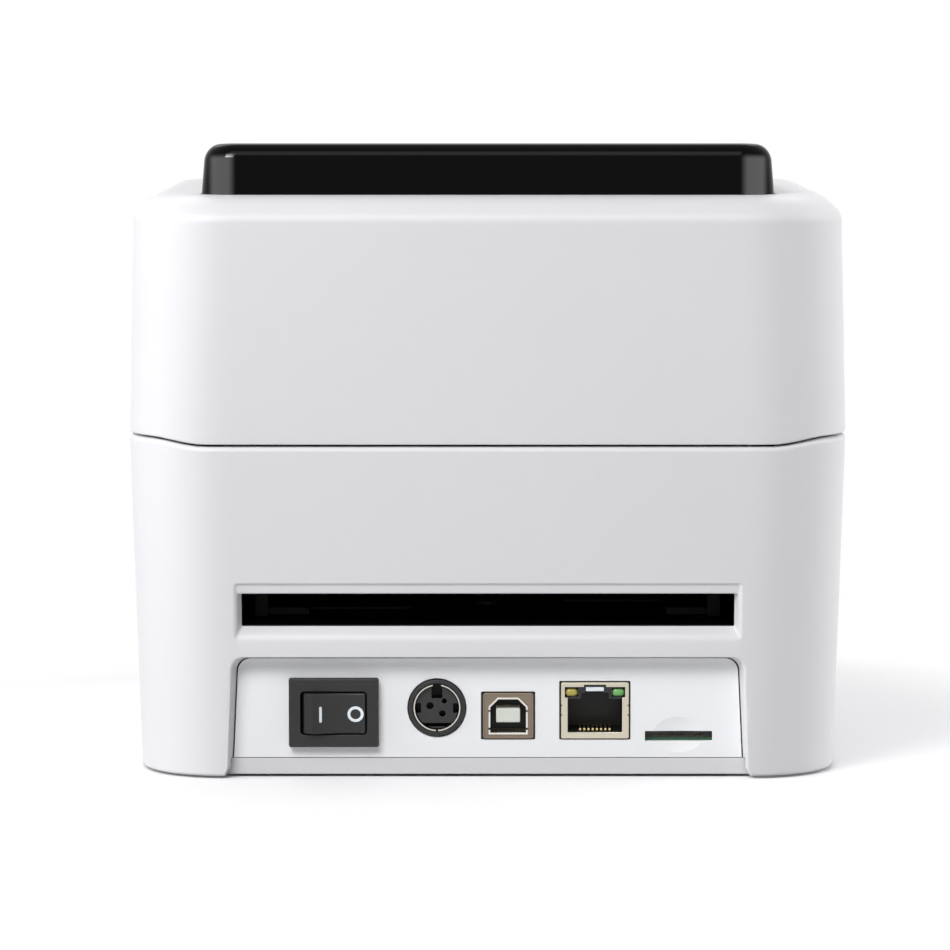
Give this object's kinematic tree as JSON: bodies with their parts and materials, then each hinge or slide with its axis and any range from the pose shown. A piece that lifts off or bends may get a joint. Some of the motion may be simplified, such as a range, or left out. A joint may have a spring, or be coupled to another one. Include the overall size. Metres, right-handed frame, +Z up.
{
  "type": "thermal label printer",
  "caption": "Desktop clamshell label printer with a smoked window dome over the roll bay, rear fan-fold slot, rear connector panel and front label exit.",
  "frame": {"origin": "centre of the footprint on the table, at the rubber feet's undersides", "axes": "+Y to the rear, where the connectors are; -Y to the front, where labels come out; +Z up; +X to the right as seen from the front"},
  "size_m": [0.172, 0.215, 0.1501],
  "materials": {
    "aluminium": "extruded",
    "black_plastic": "satin moulded",
    "brass": "turned",
    "ceramic": "glazed ceramic",
    "circuit_board": "solder resist",
    "components": "moulded",
    "contact_gold": "gold flashed",
    "gear_plastic": "moulded acetal",
    "grey_plastic": "moulded",
    "hub_plastic": "moulded",
    "key_plastic": "satin moulded",
    "latch_plastic": "satin moulded",
    "light_lens": "clear lens",
    "motor_steel": "satin",
    "nickel": "nickel plated",
    "pale_plastic": "moulded",
    "rocker_plastic": "satin moulded",
    "rubber": "ground",
    "smoked_window": "polished",
    "status_lens": "clear lens",
    "steel": "satin",
    "white_panel": "smooth moulded",
    "white_shell": "fine moulded texture",
    "zinc_plate": "zinc plated"
  },
  "bodies": {
    "base": {"lower_housing": "white_shell", "base_plate": "white_shell", "rubber_feet": "rubber", "base_screws": "steel", "rear_panel": "white_panel", "main_board": "circuit_board", "board_parts": "components", "board_screws": "steel", "switch_body": "black_plastic", "switch_terminals": "contact_gold", "dc_socket": "black_plastic", "dc_shield": "nickel", "usb_shell": "nickel", "usb_insert": "pale_plastic", "lan_shell": "nickel", "lan_insert": "black_plastic", "lan_contacts": "contact_gold", "lan_lights": "light_lens", "card_socket": "nickel", "media_tray": "grey_plastic", "tray_screws": "steel", "tear_bar": "steel", "drive_plate": "zinc_plate", "platen_plate": "zinc_plate", "platen_bearings": "gear_plastic", "idler_stud": "steel", "stepper_motor": "motor_steel", "hinge_arm_left": "grey_plastic", "hinge_arm_right": "grey_plastic"},
    "lid": {"top_cover": "white_shell", "window": "smoked_window", "lid_liner": "grey_plastic", "liner_screws": "steel", "hinge_pins": "steel", "head_pin": "steel", "key_board": "circuit_board", "status_lights": "status_lens"},
    "head": {"head_bracket": "zinc_plate", "heat_sink": "aluminium", "print_head": "ceramic", "head_springs": "steel"},
    "rocker": {"switch_rocker": "rocker_plastic"},
    "left_guide": {"guide_left": "grey_plastic"},
    "right_guide": {"guide_right": "grey_plastic"},
    "guide_gear": {"guide_pinion": "gear_plastic"},
    "left_hub": {"hub_left": "hub_plastic"},
    "right_hub": {"hub_right": "hub_plastic"},
    "sensor": {"gap_sensor": "black_plastic"},
    "platen": {"platen_shaft": "steel", "platen_roller": "rubber", "platen_gear": "gear_plastic"},
    "idler": {"idler_gear": "gear_plastic"},
    "motor_drive": {"motor_shaft": "steel", "motor_pinion": "brass"},
    "left_latch": {"latch_left": "latch_plastic"},
    "right_latch": {"latch_right": "latch_plastic"},
    "feed_button": {"feed_key": "key_plastic"},
    "pause_button": {"pause_key": "key_plastic"}
  },
  "joints": [
    {"name": "lid_hinge", "type": "hinge", "parent": "base", "child": "lid", "pos_m": [0, 0.1012, 0.096], "axis": [-1, 0, 0], "range_deg": [0, 90]},
    {"name": "head_pivot", "type": "hinge", "parent": "lid", "child": "head", "pos_m": [0, -0.069, 0.092], "axis": [-1, 0, 0], "range_deg": [0, 3], "stiffness_Nm_per_rad": 12, "springref_deg": -2.86},
    {"name": "rocker_tilt", "type": "hinge", "parent": "base", "child": "rocker", "pos_m": [0.0366, 0.1033, 0.0154], "axis": [0, 0, -1], "range_deg": [0, 20]},
    {"name": "left_latch_turn", "type": "hinge", "parent": "base", "child": "left_latch", "pos_m": [0.0795, -0.03, 0.0598], "axis": [-1, 0, 0], "range_deg": [0, 12], "stiffness_Nm_per_rad": 0.3, "springref_deg": -5.73},
    {"name": "right_latch_turn", "type": "hinge", "parent": "base", "child": "right_latch", "pos_m": [-0.0795, -0.03, 0.0598], "axis": [-1, 0, 0], "range_deg": [0, 12], "stiffness_Nm_per_rad": 0.3, "springref_deg": -5.73},
    {"name": "feed_press", "type": "slide", "parent": "lid", "child": "feed_button", "axis": [0, 0.5646, -0.8254], "range_m": [0, 0.0008], "stiffness_N_per_m": 400, "springref_m": -0.0004},
    {"name": "pause_press", "type": "slide", "parent": "lid", "child": "pause_button", "axis": [0, 0.5646, -0.8254], "range_m": [0, 0.0008], "stiffness_N_per_m": 400, "springref_m": -0.0004},
    {"name": "left_guide_slide", "type": "slide", "parent": "base", "child": "left_guide", "axis": [-1, 0, 0], "range_m": [0, 0.03]},
    {"name": "right_guide_slide", "type": "slide", "parent": "base", "child": "right_guide", "axis": [1, 0, 0], "range_m": [0, 0.03]},
    {"name": "guide_gear_turn", "type": "hinge", "parent": "base", "child": "guide_gear", "pos_m": [0, 0.027, 0.0285], "axis": [0, 0, 1], "range_deg": [0, 290]},
    {"name": "left_hub_spin", "type": "hinge", "parent": "left_guide", "child": "left_hub", "pos_m": [0.054, 0.027, 0.09], "axis": [1, 0, 0], "continuous": true},
    {"name": "right_hub_spin", "type": "hinge", "parent": "right_guide", "child": "right_hub", "pos_m": [-0.054, 0.027, 0.09], "axis": [1, 0, 0], "continuous": true},
    {"name": "sensor_slide", "type": "slide", "parent": "base", "child": "sensor", "axis": [1, 0, 0], "range_m": [-0.04, 0.04]},
    {"name": "platen_spin", "type": "hinge", "parent": "base", "child": "platen", "pos_m": [0, -0.088, 0.072], "axis": [1, 0, 0], "continuous": true},
    {"name": "idler_spin", "type": "hinge", "parent": "base", "child": "idler", "pos_m": [-0.0695, -0.0772, 0.05913], "axis": [1, 0, 0], "continuous": true},
    {"name": "motor_spin", "type": "hinge", "parent": "base", "child": "motor_drive", "pos_m": [-0.0715, -0.05919, 0.04873], "axis": [1, 0, 0], "continuous": true}
  ],
  "couplings": [
    {"joint": "right_guide_slide", "follows": "left_guide_slide", "ratio": 1},
    {"joint": "guide_gear_turn", "follows": "left_guide_slide", "rad_per_m": 166.67},
    {"joint": "idler_spin", "follows": "platen_spin", "ratio": -2},
    {"joint": "motor_spin", "follows": "platen_spin", "ratio": 6.6667}
  ]
}
